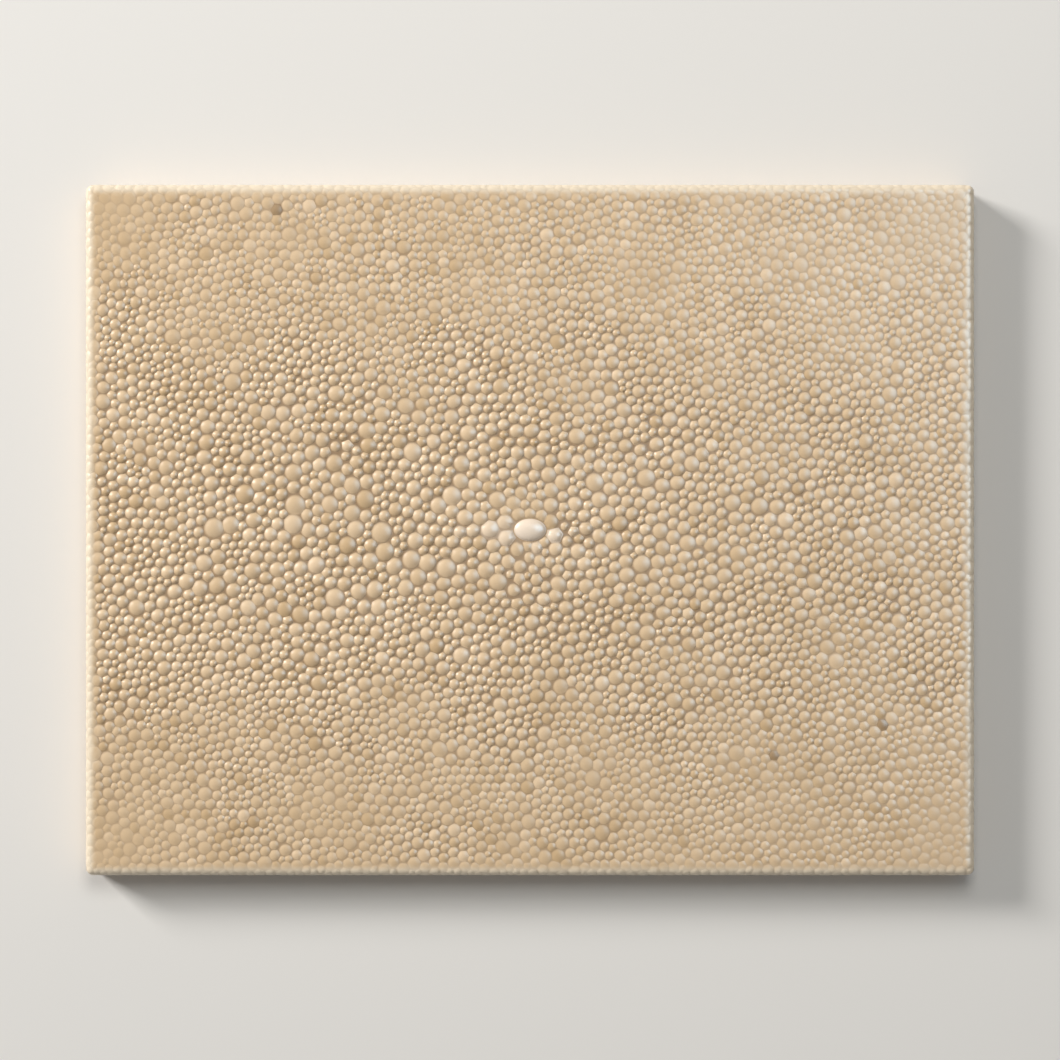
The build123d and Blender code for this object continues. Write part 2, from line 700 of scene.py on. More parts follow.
    def _settle(self) -> None:
        """Let beads that stand too close push each other apart."""
        tree = KDTree(len(self.spots))
        for index, (x, y) in enumerate(self.spots.tolist()):
            tree.insert((x, y, 0.0), index)
        tree.balance()
        reach = self.search_reach
        pairs = [
            (index, other)
            for index in range(self.first_free, len(self.spots))
            for _, other, _ in tree.find_range((*self.spots[index], 0.0), reach)
            if other != index
        ]
        here, there = np.array(pairs).T
        for _ in range(self.settle_steps):
            away = self.spots[here] - self.spots[there]
            distance = np.maximum(np.hypot(*away.T), TINY)
            overlap = np.maximum(0.5 * (self.sizes[here] + self.sizes[there]) - distance, 0.0)
            target = self.spots.copy()
            np.add.at(target, here, away * (self.push * overlap / distance)[:, None])
            self._move(target)

    def sectors(self) -> tuple[np.ndarray, np.ndarray, np.ndarray]:
        """Cut each bead's cell into sectors, one for each neighbour.

        Returns:
            The corner of a triangle at which each sector starts, the corner of the next triangle
            clockwise round the same bead, and whether there is such a triangle.
        """
        count = len(self.spots)
        first = self.triangles.ravel()
        second = np.roll(self.triangles, -1, axis=1).ravel()
        keys = first * count + second
        order = np.argsort(keys)
        twin_key = second * count + first
        twin = order[np.searchsorted(keys[order], twin_key).clip(max=len(keys) - 1)]
        paired = keys[twin] == twin_key
        return np.arange(len(first)), twin - twin % 3 + (twin + 1) % 3, paired

    def _even_out(self) -> None:
        """Move each bead to the middle of the cell between the grooves round it."""
        left, right, paired = self.sectors()
        left, right = left[paired], right[paired]
        apex = self.triangles.ravel()[left]
        here, ahead, behind = self.spots[apex], self.grooves[left // 3], self.grooves[right // 3]
        a, b = ahead - here, behind - here
        area = np.abs(a[:, 0] * b[:, 1] - a[:, 1] * b[:, 0])
        pull = (here + ahead + behind) / 3.0 * area[:, None]
        total = np.bincount(apex, weights=area, minlength=len(self.spots))
        middle = [np.bincount(apex, weights=pull[:, k], minlength=len(self.spots)) for k in (0, 1)]
        self._move(np.column_stack(middle) / np.maximum(total, TINY)[:, None])

    def _join(self) -> None:
        """Join neighbouring beads into triangles and find the lowest point between each three."""
        triangles = self.section.fill(self.spots, self.loops)
        at_pearl = (triangles >= self.outline_count) & (triangles < self.rim_count)
        triangles, at_pearl = triangles[~at_pearl.all(axis=1)], at_pearl[~at_pearl.all(axis=1)]
        weight = 1.0 / np.maximum(self.sizes, self.least_size * self.grain.end_pitch)[triangles]
        near_pearl = at_pearl.any(axis=1)
        pull = np.where(at_pearl, self.groove_pull / np.maximum(at_pearl.sum(axis=1), 1)[:, None], 0.0)
        rest = (1.0 - self.groove_pull) / np.maximum((~at_pearl).sum(axis=1), 1)
        pull = np.where(at_pearl, pull, rest[:, None])
        weight = np.where(near_pearl[:, None], pull, weight / weight.sum(axis=1, keepdims=True))
        self.triangles = triangles
        self.grooves = (self.spots[triangles] * weight[:, :, None]).sum(axis=1)


@dataclass
class MeshParts:
    """Points and faces of a mesh while it is put together. A face's owner is its bead, or -1."""

    points: list[np.ndarray] = field(default_factory=list)
    faces: list[np.ndarray] = field(default_factory=list)
    owners: list[np.ndarray] = field(default_factory=list)
    count: int = 0

    def add_points(self, points: np.ndarray) -> int:
        """Add points and return the index of the first.

        Args:
            points: The points.

        Returns:
            That index.
        """
        first = self.count
        self.points.append(points)
        self.count += len(points)
        return first

    def add_faces(self, owner: np.ndarray | int, *corners: np.ndarray) -> None:
        """Add one face per row, from the indices of its corners in order."""
        self.faces.append(np.column_stack(corners))
        self.owners.append(np.broadcast_to(owner, len(corners[0])))

    def corner_points(self) -> np.ndarray:
        """Point index of every face corner, in order."""
        return np.concatenate([block.ravel() for block in self.faces])

    def corner_owners(self) -> np.ndarray:
        """Owner of every face corner, in order."""
        return np.concatenate([np.repeat(o, f.shape[1]) for o, f in zip(self.owners, self.faces)])

    def triangle_count(self) -> int:
        """Count the triangles that the faces come to."""
        return sum(len(block) * (block.shape[1] - 2) for block in self.faces)

    def make(self, name: str) -> bpy.types.Mesh:
        """Make the mesh, with its points scaled to metres.

        Args:
            name: The mesh's name.

        Returns:
            The mesh.
        """
        mesh = bpy.data.meshes.new(name)
        faces = [face for block in self.faces for face in block.tolist()]
        mesh.from_pydata((np.vstack(self.points) * MM).tolist(), [], faces)
        return mesh


@dataclass
class BeadedHide:
    """The hide as one closed mesh: every bead is a dome over the cell between its neighbours.

    The mesh carries what the finish reads: each face's place on its bead, the bead's own shade and
    whiteness, the height of the relief and the mask of the rolled rim's wear and painted highlight.
    """

    section: HideSection
    layout: BeadLayout
    grain: Grain
    dark_beads: tuple[tuple[float, float], ...]
    seed: int = 5
    unevenness: float = 0.07
    wobble: float = 0.06
    wobble_limit: float = 0.15
    dark_shade: float = -6.0
    # Mask of the rolled rim. The finish paints this rim pale, partly as wear and partly as a painted
    # highlight.
    rim_wear_and_highlight_ramp: tuple[float, float] = (-1.0, 0.6)
    rim_wear_and_highlight_fade: tuple[float, float] = (0.7, 1.7)
    mesh_share: float = 0.65
    profile: BeadProfile = BeadProfile()
    coarse_rings: tuple[float, ...] = (0.66,)
    fine_rings: tuple[float, ...] = (0.48, 0.84)
    pearl_rings: tuple[float, ...] = (0.3, 0.55, 0.76, 0.92)
    ring_limit: float = 0.92
    fine_relief: float = 0.4
    plain_offset: float = 1.05
    crease_angle: float = math.radians(80.0)
    lining_pitch: float = 14.0
    ring_arms: np.ndarray = field(init=False)

    def crown(self, share: np.ndarray) -> np.ndarray:
        """Height of a bead, from 1 at its top to 0 in its groove."""
        fallen = share**self.profile.crown_power
        return np.maximum(1.0 - fallen, 0.0) ** self.profile.shoulder_power

    def ring_counts(self, relief: np.ndarray) -> np.ndarray:
        """Choose how many rings of faces each bead's dome gets.

        Args:
            relief: The relief at each bead.

        Returns:
            The number of rings for each bead, none for spots that are no beads.
        """
        layout = self.layout
        run, _ = self.section.past_core(layout.spots)
        stretch = self.section.stretch_of(run)
        raised = (stretch == Stretch.FACE.value) & (relief > self.fine_relief)
        fine = raised | (stretch == Stretch.ROLL.value)
        fine[layout.side_range.start : layout.side_range.stop] = True
        counts = np.where(fine, len(self.fine_rings), len(self.coarse_rings))
        counts[stretch == Stretch.MARGIN.value] = 0
        counts[: layout.rim_count] = 0
        return counts

    def build(self) -> bpy.types.Object:
        """Make the hide's mesh.

        Returns:
            The finished object.
        """
        parts = MeshParts()
        rng = np.random.default_rng(self.seed)
        flat = self._add_beads(parts, rng)
        self._add_lining(parts)
        mesh = parts.make("beaded_hide")
        self._note_values(mesh, parts, flat, rng)
        piece = bpy.data.objects.new("beaded_hide", mesh)
        bpy.context.scene.collection.objects.link(piece)
        bpy.ops.object.select_all(action="DESELECT")
        piece.select_set(True)
        bpy.context.view_layer.objects.active = piece
        bpy.ops.object.shade_smooth_by_angle(angle=self.crease_angle)
        beads = len(self.layout.spots) - self.layout.rim_count
        LOG.info("beaded hide: %d beads, %d triangles", beads, parts.triangle_count())
        return piece

    def _add_beads(self, parts: MeshParts, rng: np.random.Generator) -> np.ndarray:
        """Add the side that shows.

        Args:
            parts: The mesh that is put together.
            rng: Source of the beads' unevenness.

        Returns:
            The points laid flat, one per row.
        """
        layout, section = self.layout, self.section
        spots, triangles, grooves = layout.spots, layout.triangles, layout.grooves
        relief = self.grain.relief(spots, section)
        depth = self.mesh_share * relief
        depth[: layout.outline_count] = 0.0
        top = rng.normal(0.0, self.unevenness, len(spots)) * depth
        top[: layout.rim_count] = -depth[: layout.rim_count]
        top[layout.side_range.start : layout.side_range.stop] = [side.rise for side in layout.side_pearls]
        run, _ = section.past_core(spots)
        top = np.where(run > section.wall_end, np.minimum(top, 0.0), top)
        groove_lift = -depth[triangles].mean(axis=1)

        rings = self.ring_counts(relief)
        arms = layout.arms().ravel()
        corner_spot = triangles.ravel()
        corner_groove = np.repeat(np.arange(len(triangles)), 3)
        ring_start = np.zeros(len(corner_spot), dtype=int)
        ring_arms: list[np.ndarray] = []
        flats = [spots, grooves]
        lifts = [top, groove_lift]
        used = len(spots) + len(grooves)
        for shares in (self.coarse_rings, self.fine_rings):
            chosen = np.flatnonzero(rings[corner_spot] == len(shares))
            ring_start[chosen] = used + np.arange(len(chosen)) * len(shares)
            used += len(chosen) * len(shares)
            share = np.tile(np.array(shares), len(chosen))
            spot = np.repeat(corner_spot[chosen], len(shares))
            groove = np.repeat(corner_groove[chosen], len(shares))
            spoke = grooves[groove] - spots[spot]
            span = np.maximum(np.hypot(*spoke.T), TINY)
            ring_arms.append(np.repeat(arms[chosen], len(shares)))
            arm = share * np.minimum(ring_arms[-1], self.ring_limit * span)
            flats.append(spots[spot] + spoke * (arm / span)[:, None])
            lifts.append(groove_lift[groove] + self.crown(share) * (top[spot] - groove_lift[groove]))
        self.ring_arms = np.concatenate(ring_arms)
        flat = np.vstack(flats)
        parts.add_points(section.wrap_outer(flat, np.concatenate(lifts)))
        self._add_bead_faces(parts, rings, ring_start)
        return np.vstack([flat, self._add_pearl(parts, top)])

    def _add_bead_faces(self, parts: MeshParts, rings: np.ndarray, ring_start: np.ndarray) -> None:
        """Add the faces of every dome.

        Args:
            parts: The mesh that is put together.
            rings: Number of rings of each bead.
            ring_start: Index of the first ring point for each corner of each triangle.
        """
        triangles = self.layout.triangles
        first = triangles.ravel()
        second = np.roll(triangles, -1, axis=1).ravel()
        corner, next_corner, paired = self.layout.sectors()
        groove = len(self.layout.spots) + corner // 3
        lone = ~paired
        parts.add_faces(-1, first[lone], second[lone], groove[lone])
        for count in (0, len(self.coarse_rings), len(self.fine_rings)):
            chosen = np.flatnonzero(paired & (rings[first] == count))
            apex = first[chosen]
            owner = np.where(apex < self.layout.rim_count, -1, apex)
            left, right = groove[chosen], groove[next_corner[chosen]]
            if count == 0:
                parts.add_faces(owner, apex, right, left)
                continue
            left_ring, right_ring = ring_start[chosen], ring_start[next_corner[chosen]]
            parts.add_faces(owner, apex, right_ring, left_ring)
            for step in range(count - 1):
                inner_right, inner_left = right_ring + step, left_ring + step
                parts.add_faces(owner, inner_right, inner_right + 1, inner_left + 1, inner_left)
            last = count - 1
            parts.add_faces(owner, right_ring + last, right, left, left_ring + last)

    def _add_pearl(self, parts: MeshParts, top: np.ndarray) -> np.ndarray:
        """Add the dome of the middle pearl inside its rim.

        Args:
            parts: The mesh that is put together.
            top: Height of every spot, the rim's among them.

        Returns:
            The dome's own points laid flat: its middle, then its rings outwards.
        """
        pearl = self.layout.pearl
        loop = self.layout.loops[1]
        rim = self.layout.spots[loop.start : loop.stop]
        foot = top[loop.start : loop.stop]
        shares = np.array(self.pearl_rings)
        heights = foot + self.crown(shares)[:, None] * (pearl.rise - foot)
        ring_flat = shares[:, None, None] * rim
        flat = np.vstack([np.zeros(2), ring_flat.reshape(-1, 2)])
        lift = np.concatenate([[pearl.rise], heights.ravel()])
        start = parts.add_points(self.section.wrap_outer(flat, lift))
        owner = len(self.layout.spots)
        step = np.arange(len(rim))
        after = (step + 1) % len(rim)
        rows = [start + 1 + ring * len(rim) for ring in range(len(shares))] + [loop.start]
        parts.add_faces(owner, np.full(len(rim), start), rows[0] + step, rows[0] + after)
        for inner, outer in zip(rows[:-1], rows[1:]):
            parts.add_faces(owner, inner + step, outer + step, outer + after, inner + after)
        return flat

    def _note_values(
        self, mesh: bpy.types.Mesh, parts: MeshParts, flat: np.ndarray, rng: np.random.Generator
    ) -> None:
        """Write the values that the finish reads onto the mesh.

        Args:
            mesh: The finished mesh.
            parts: What it was put together from.
            flat: Points of the side that shows, laid flat.
            rng: Source of the beads' shades.
        """
        layout, section = self.layout, self.section
        offset = self._bead_places(parts, flat, rng)
        places = mesh.attributes.new("bead_place", "FLOAT_VECTOR", "CORNER")
        places.data.foreach_set("vector", offset.ravel())

        ivory = np.zeros(len(layout.spots) + 1)
        side_range = layout.side_range
        ivory[side_range.start : side_range.stop] = [side.ivory for side in layout.side_pearls]
        ivory[-1] = layout.pearl.ivory
        shade = rng.normal(0.0, 1.0, len(ivory))
        for dark in self.dark_beads:
            shade[np.hypot(*(layout.spots - dark).T).argmin()] = self.dark_shade
        face_owner = np.concatenate(parts.owners)
        for name, value in (("bead_shade", shade), ("ivory", ivory)):
            column = np.where(face_owner < 0, 0.0, value[face_owner]).astype(np.float32)
            mesh.attributes.new(name, "FLOAT", "FACE").data.foreach_set("value", column)

        run, _ = section.past_core(flat)
        from_edge = run - (section.core - np.abs(flat)).clip(0.0).min(axis=1)
        # Rim mask for the finish: wear plus a painted highlight along the rolled edge, fading out past the
        # roll.
        past_roll = smooth_step(*self.rim_wear_and_highlight_fade, run / section.roll_end)
        rim_wear_and_highlight_mask = smooth_step(*self.rim_wear_and_highlight_ramp, from_edge) * (1.0 - past_roll)
        relief = self.grain.relief(flat, section) / self.grain.spine_relief
        for name, value in (("rim_wear_and_highlight_mask", rim_wear_and_highlight_mask), ("relief", relief)):
            column = np.zeros(parts.count, dtype=np.float32)
            column[: len(flat)] = value
            mesh.attributes.new(name, "FLOAT", "POINT").data.foreach_set("value", column)

    def _bead_places(self, parts: MeshParts, flat: np.ndarray, rng: np.random.Generator) -> np.ndarray:
        """Find where each face corner lies on its bead: 0 on the top, length 1 on the bead's rim.

        Args:
            parts: What the mesh was put together from.
            flat: Points of the side that shows, laid flat.
            rng: Source of the beads' lean.

        Returns:
            One vector per face corner.
        """
        layout = self.layout
        spots, triangles = layout.spots, layout.triangles
        owner, corner = parts.corner_owners(), parts.corner_points()
        groove = corner - len(spots)
        in_groove = (owner >= 0) & (owner < len(spots)) & (groove >= 0) & (groove < len(triangles))
        in_ring = (owner >= 0) & (owner < len(spots)) & (groove >= len(triangles))
        arms = layout.arms()
        arm = np.ones(len(corner))
        which = (triangles[groove[in_groove]] == owner[in_groove][:, None]).argmax(axis=1)
        arm[in_groove] = arms[groove[in_groove], which]
        arm[in_ring] = self.ring_arms[groove[in_ring] - len(triangles)]
        centres = np.vstack([spots, np.zeros(2)])
        lean = rng.normal(0.0, self.wobble, (len(centres), 2))
        lean = np.clip(lean, -self.wobble_limit, self.wobble_limit)
        lean[-1] = 0.0
        padded = np.vstack([flat, np.zeros((parts.count - len(flat), 2))])
        offset = np.zeros((len(owner), 3), dtype=np.float32)
        half_axes = np.where((owner == len(spots))[:, None], layout.pearl.half_axes, arm[:, None])
        offset[:, :2] = (padded[corner] - centres[owner]) / half_axes + lean[owner]
        offset[owner < 0] = (self.plain_offset, 0.0, 0.0)
        return offset

    def _add_lining(self, parts: MeshParts) -> None:
        """Close the hide with its glued side, joined along the cut edge of the margin.

        Args:
            parts: The mesh that is put together.
        """
        rim_count = self.layout.outline_count
        flat = np.vstack([self.layout.spots[:rim_count], self._lining_rows()])
        triangles = self.section.fill(flat, [range(rim_count)])
        start = parts.add_points(self.section.wrap_inner(flat))
        parts.add_faces(-1, *(triangles[:, ::-1] + start).T)
        here = np.arange(rim_count)
        after = (here + 1) % rim_count
        parts.add_faces(-1, after, here, here + start, after + start)

    def _lining_rows(self) -> np.ndarray:
        """Points of the glued side along the lines where it bends.

        Returns:
            The flat points, one per row.
        """
        section = self.section
        rows: list[np.ndarray] = []
        for run in (0.0, 0.5 * section.roll_end, section.roll_end, section.board_edge_end):
            for axis in (0, 1):
                other = 1 - axis
                steps = math.ceil(2 * section.core[other] / self.lining_pitch)
                along = np.linspace(-section.core[other], section.core[other], steps + 1)
                for side in (-1, 1):
                    row = np.empty((len(along), 2))
                    row[:, axis] = side * (section.core[axis] + run)
                    row[:, other] = along
                    rows.append(row)
            if run > 0.0:
                middle = np.array([(sx, sy) for sx in (-1, 1) for sy in (-1, 1)]) / math.sqrt(2.0)
                rows.append(np.sign(middle) * section.core + run * middle)
        return np.unique(np.vstack(rows).round(6), axis=0)


class Wiring:
    """Adds and links the nodes of one tree."""

    def __init__(self, tree: bpy.types.NodeTree) -> None:
        """Start on an empty tree."""
        self.tree = tree
        self.tree.nodes.clear()

    def node(self, kind: str, **settings: object) -> bpy.types.Node:
        """Add a node and set its properties.

        Args:
            kind: The node's type.
            settings: Its properties.

        Returns:
            The node.
        """
        node = self.tree.nodes.new(kind)
        for name, value in settings.items():
            setattr(node, name, value)
        return node

    def feed(self, target: Socket, source: Socket | float | tuple) -> None:
        """Link a socket to its source, or set it where the source is a plain value.

        Args:
            target: The socket.
            source: Another socket, a number or a colour.
        """
        if isinstance(source, bpy.types.NodeSocket):
            self.tree.links.new(source, target)
        else:
            target.default_value = source

    def math(self, operation: str, first: Socket | float, second: Socket | float = 0.0) -> Socket:
        """Add a Math node and return its result.

        Args:
            operation: What it works out.
            first: Its first value.
            second: Its second value.

        Returns:
            The result.
        """
        node = self.node("ShaderNodeMath", operation=operation)
        self.feed(node.inputs[0], first)
        self.feed(node.inputs[1], second)
        return node.outputs[0]

    def ramp(
        self,
        value: Socket,
        low: Socket | float,
        high: Socket | float,
        start: float = 0.0,
        end: float = 1.0,
    ) -> Socket:
        """Map a value smoothly from one range to another and return the result.

        Args:
            value: The value.
            low: Where its range starts.
            high: Where its range ends.
            start: Result at low.
            end: Result at high.

        Returns:
            The result.
        """
        node = self.node("ShaderNodeMapRange", interpolation_type="SMOOTHSTEP")
        for index, source in enumerate((value, low, high, start, end)):
            self.feed(node.inputs[index], source)
        return node.outputs[0]

    def blend(self, share: Socket | float, first: Socket | tuple, second: Socket | tuple) -> Socket:
        """Add a colour Mix node and return its result.

        Args:
            share: Share of the second colour.
            first: The first colour.
            second: The second colour.

        Returns:
            The mixed colour.
        """
        node = self.node("ShaderNodeMix", data_type="RGBA")
        self.feed(node.inputs[0], share)
        self.feed(node.inputs[6], first)
        self.feed(node.inputs[7], second)
        return node.outputs[2]

    def noise(self, vector: Socket, scale: Socket | float, detail: float, roughness: float = 0.5) -> Socket:
        """Add a Noise texture and return its value.

        Args:
            vector: Where it is read.
            scale: Its scale.
            detail: Number of finer layers.
            roughness: Strength of the finer layers.

        Returns:
            The value, from 0 to 1.
        """
        node = self.node("ShaderNodeTexNoise")
        self.feed(node.inputs["Vector"], vector)
        self.feed(node.inputs["Scale"], scale)
        self.feed(node.inputs["Detail"], detail)
        self.feed(node.inputs["Roughness"], roughness)
        return node.outputs["Fac"]

    def attribute(self, name: str) -> Socket:
        """Read a value that the mesh carries."""
        return self.node("ShaderNodeAttribute", attribute_name=name).outputs["Fac"]

    def attribute_vector(self, name: str) -> Socket:
        """Read a vector that the mesh carries."""
        return self.node("ShaderNodeAttribute", attribute_name=name).outputs["Vector"]

    def length(self, vector: Socket) -> Socket:
        """Measure a vector.

        Args:
            vector: The vector.

        Returns:
            Its length.
        """
        node = self.node("ShaderNodeVectorMath", operation="LENGTH")
        self.feed(node.inputs[0], vector)
        return node.outputs["Value"]

    def place(self) -> Socket:
        """Read the place on the object."""
        return self.node("ShaderNodeTexCoord").outputs["Object"]


class SharedEffects:
    """Node groups that both finishes use."""

    small_patches: float = 4.3
    broad_share: float = 0.65
    least_speck: float = 0.35
    speck_core: float = 0.45

    def __init__(self) -> None:
        """Build each group once."""
        self.mottle = self._make_mottle()
        self.specks = self._make_specks()

    @staticmethod
    def _new_group(
        name: str, inputs: tuple[str, ...]
    ) -> tuple[bpy.types.NodeTree, Wiring, dict[str, Socket]]:
        """Open a node group that takes a place and numbers and gives a mask.

        Args:
            name: Name of the group.
            inputs: Names of its number inputs.

        Returns:
            The group, its wiring and its inputs by name.
        """
        group = bpy.data.node_groups.new(name, "ShaderNodeTree")
        wiring = Wiring(group)
        group.interface.new_socket("Place", in_out="INPUT", socket_type="NodeSocketVector")
        for label in inputs:
            group.interface.new_socket(label, in_out="INPUT", socket_type="NodeSocketFloat")
        group.interface.new_socket("Mask", in_out="OUTPUT", socket_type="NodeSocketFloat")
        entry = wiring.node("NodeGroupInput")
        return group, wiring, {socket.name: socket for socket in entry.outputs if socket.name}

    def _make_mottle(self) -> bpy.types.NodeTree:
        """Cloudy patches of two sizes, as in dyed leather and pressed fibre.

        Returns:
            The group.
        """
        group, wiring, entry = self._new_group("mottle", ("Scale", "Contrast"))
        small_scale = wiring.math("MULTIPLY", entry["Scale"], self.small_patches)
        broad = wiring.noise(entry["Place"], entry["Scale"], 3.0, 0.55)
        small = wiring.noise(entry["Place"], small_scale, 2.0)
        broad_part = wiring.math("MULTIPLY", broad, self.broad_share)
        small_part = wiring.math("MULTIPLY", small, 1.0 - self.broad_share)
        both = wiring.math("ADD", broad_part, small_part)
        spread = wiring.math("MULTIPLY", wiring.math("SUBTRACT", both, 0.5), entry["Contrast"])
        leave = wiring.node("NodeGroupOutput")
        clamped = wiring.node("ShaderNodeClamp")
        wiring.feed(clamped.inputs[0], wiring.math("ADD", spread, 0.5))
        wiring.feed(leave.inputs["Mask"], clamped.outputs[0])
        return group

    def _make_specks(self) -> bpy.types.NodeTree:
        """Sparse small round specks with soft rims.

        Returns:
            The group.
        """
        group, wiring, entry = self._new_group("specks", ("Scale", "Radius", "Sparseness"))
        cells = wiring.node("ShaderNodeTexVoronoi", feature="F1")
        wiring.feed(cells.inputs["Vector"], entry["Place"])
        wiring.feed(cells.inputs["Scale"], entry["Scale"])
        colour = wiring.node("ShaderNodeSeparateColor")
        wiring.feed(colour.inputs[0], cells.outputs["Color"])
        chosen = wiring.math("GREATER_THAN", colour.outputs[0], entry["Sparseness"])
        size = wiring.math("ADD", colour.outputs[1], self.least_speck)
        radius = wiring.math("MULTIPLY", entry["Radius"], size)
        core = wiring.math("MULTIPLY", radius, self.speck_core)
        speck = wiring.ramp(cells.outputs["Distance"], core, radius, 1.0, 0.0)
        leave = wiring.node("NodeGroupOutput")
        wiring.feed(leave.inputs["Mask"], wiring.math("MULTIPLY", speck, chosen))
        return group

    def use(self, wiring: Wiring, group: bpy.types.NodeTree, place: Socket, **values: float) -> Socket:
        """Place a group in a material with its own values and return its mask.

        Args:
            wiring: The material's wiring.
            group: The group.
            place: Place on the object.
            values: The group's numbers, by the names of its inputs in small letters.

        Returns:
            The mask.
        """
        node = wiring.node("ShaderNodeGroup", node_tree=group)
        wiring.feed(node.inputs["Place"], place)
        for name, value in values.items():
            wiring.feed(node.inputs[name.capitalize()], value)
        return node.outputs["Mask"]


@dataclass(frozen=True)
class ShagreenFinish:
    """Dressed ray hide: pale beige beads, tan grooves deepened by painted shade, a pale rolled rim of wear
    and painted highlight, ivory pearls, satin lacquer.
    """

    bead: tuple = linear(206, 178, 140)
    raised_bead: tuple = linear(214, 187, 151)
    pale_bead: tuple = linear(227, 201, 167)
    tan_bead: tuple = linear(194, 164, 122)
    # Groove colour: the darker hide between beads, also used as painted shade in those hollows.
    groove: tuple = linear(121, 86, 46)
    ivory: tuple = linear(237, 220, 200)
    # Rim colour: worn pale hide on the rolled edge, made paler still as a painted highlight of the edge.
    rim_wear_and_highlight: tuple = linear(230, 217, 195)
    freckle: tuple = linear(118, 90, 61)
    profile: BeadProfile = BeadProfile()
    bead_bump: float = 0.26 * MM
    pit_bump: float = 0.03 * MM
    pit_strength: float = 0.5
    pit_scale: float = 1500.0
    groove_ramp: tuple[float, float] = (0.78, 1.15)
    # Groove tint strength from flat to raised hide: partly darker hide, partly painted shade that deepens
    # with the relief.
    flat_groove_tint_and_shade: float = 0.12
    raised_groove_tint_and_shade: float = 0.7
    pearl_groove_tint_and_shade: float = 0.5
    cloud_scale: float = 18.0
    cloud_contrast: float = 2.0
    tan_cloud: float = 0.4
    pale_cloud: float = 0.35
    flat_shade: float = 0.3
    shade_range: tuple[float, float] = (0.2, 2.4)
    shade_share: float = 0.75
    dark_range: tuple[float, float] = (-3.0, -4.5)
    dark_share: float = 0.5
    rim_wear_and_highlight_share: float = 0.85
    freckle_scale: float = 70.0
    freckle_radius: float = 0.075
    freckle_sparseness: float = 0.93
    freckle_share: float = 0.7
    gloss_scale: float = 90.0
    satin: tuple[float, float] = (0.33, 0.43)
    groove_dulling: float = 0.2
    pearl_polish: float = 0.1
    specular: float = 0.5
    coat: float = 0.2
    coat_roughness: float = 0.28

    def material(self, effects: SharedEffects) -> bpy.types.Material:
        """Make the material.

        Args:
            effects: The node groups that finishes share.

        Returns:
            The material.
        """
        material = bpy.data.materials.new("shagreen_hide_finish")
        material.use_nodes = True
        wiring = Wiring(material.node_tree)
        place = wiring.place()
        relief = wiring.attribute("relief")
        ivory = wiring.attribute("ivory")
        off_top = wiring.length(wiring.attribute_vector("bead_place"))
        groove = wiring.ramp(off_top, *self.groove_ramp)
        colour = self._colour(wiring, effects, place, groove, relief, ivory)
        shader = wiring.node("ShaderNodeBsdfPrincipled")
        wiring.feed(shader.inputs["Base Color"], colour)
        wiring.feed(shader.inputs["Roughness"], self._roughness(wiring, place, groove, ivory))
        wiring.feed(shader.inputs["Normal"], self._normal(wiring, place, off_top, relief))
        shader.inputs["Specular IOR Level"].default_value = self.specular
        shader.inputs["Coat Weight"].default_value = self.coat
        shader.inputs["Coat Roughness"].default_value = self.coat_roughness
        leave = wiring.node("ShaderNodeOutputMaterial")
        wiring.feed(leave.inputs["Surface"], shader.outputs[0])
        return material

    def _colour(
        self,
        wiring: Wiring,
        effects: SharedEffects,
        place: Socket,
        groove: Socket,
        relief: Socket,
        ivory: Socket,
    ) -> Socket:
        """Mix the hide's colours, with painted shade in the grooves and a painted highlight on the rolled
        rim.

        Args:
            wiring: The material's wiring.
            effects: The node groups that finishes share.
            place: Place on the object.
            groove: 0 on a bead's top, 1 in the groove round it.
            relief: Height of the beads, 1 over the spine.
            ivory: Whiteness of a pearl.

        Returns:
            The colour, from cloudy dye to single freckles.
        """
        cloud = effects.use(
            wiring, effects.mottle, place, scale=self.cloud_scale, contrast=self.cloud_contrast
        )
        base = wiring.blend(relief, self.bead, self.raised_bead)
        base = wiring.blend(wiring.ramp(cloud, 0.5, 1.0, 0.0, self.tan_cloud), base, self.tan_bead)
        base = wiring.blend(wiring.ramp(cloud, 0.0, 0.5, self.pale_cloud, 0.0), base, self.pale_bead)
        raised = wiring.ramp(relief, 0.0, 0.6, self.flat_shade, 1.0)
        shade = wiring.math("MULTIPLY", wiring.attribute("bead_shade"), raised)
        near, far = self.shade_range
        base = wiring.blend(wiring.ramp(shade, near, far, 0.0, self.shade_share), base, self.pale_bead)
        base = wiring.blend(wiring.ramp(shade, -near, -far, 0.0, self.shade_share), base, self.tan_bead)
        base = wiring.blend(wiring.ramp(shade, *self.dark_range, 0.0, self.dark_share), base, self.freckle)
        # Rolled rim: pale worn hide plus a painted highlight along the edge.
        rim_wear_and_highlight_mask = wiring.math("MULTIPLY", wiring.attribute("rim_wear_and_highlight_mask"), self.rim_wear_and_highlight_share)
        base = wiring.blend(rim_wear_and_highlight_mask, base, self.rim_wear_and_highlight)
        base = wiring.blend(ivory, base, self.ivory)
        # Groove tint: darker hide in the grooves plus painted shade that grows with the bead relief, less
        # on the pearls.
        groove_tint_and_shade = wiring.ramp(relief, 0.0, 1.0, self.flat_groove_tint_and_shade, self.raised_groove_tint_and_shade)
        groove_tint_and_shade = wiring.math("MULTIPLY", groove, groove_tint_and_shade)
        groove_tint_and_shade = wiring.math("MULTIPLY", groove_tint_and_shade, wiring.ramp(ivory, 0.0, 1.0, 1.0, self.pearl_groove_tint_and_shade))
        base = wiring.blend(groove_tint_and_shade, base, self.groove)
        freckles = effects.use(
            wiring,
            effects.specks,
            place,
            scale=self.freckle_scale,
            radius=self.freckle_radius,
            sparseness=self.freckle_sparseness,
        )
        return wiring.blend(wiring.math("MULTIPLY", freckles, self.freckle_share), base, self.freckle)

